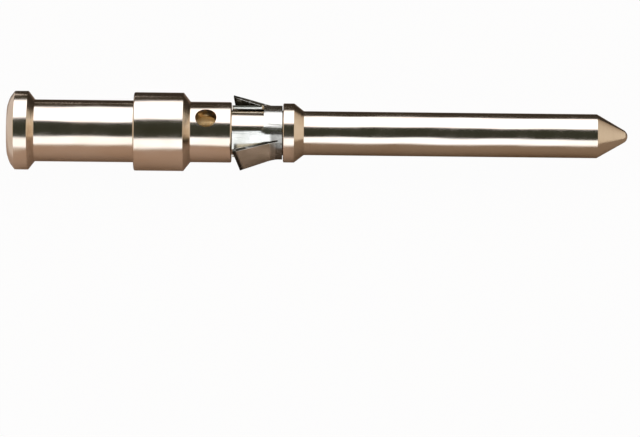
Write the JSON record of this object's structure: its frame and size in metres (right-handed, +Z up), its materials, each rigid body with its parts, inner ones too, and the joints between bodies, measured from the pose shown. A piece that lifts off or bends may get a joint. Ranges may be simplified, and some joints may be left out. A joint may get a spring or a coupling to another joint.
{
  "type": "crimp contact pin",
  "caption": "Turned male crimp contact for a cable connector: crimp barrel, locating collars, straight round pin and a spring clip with flared tines that latches it in its insert.",
  "frame": {"origin": "on the axis at the wire end of the crimp barrel", "axes": "+X along the axis from the wire end to the tip of the pin, +Z up for the contact as it lies, so the picture looks down on it from the -Y side, 56 degrees above level"},
  "size_m": [0.0225, 0.0029, 0.0028],
  "materials": {
    "plated_contact": "bright pale champagne plating over a turned copper alloy",
    "spring_steel": "satin rolled spring strip with bright sheared edges"
  },
  "bodies": {
    "root": {"contact_body": "plated_contact", "retention_clip": "spring_steel"}
  },
  "joints": []
}
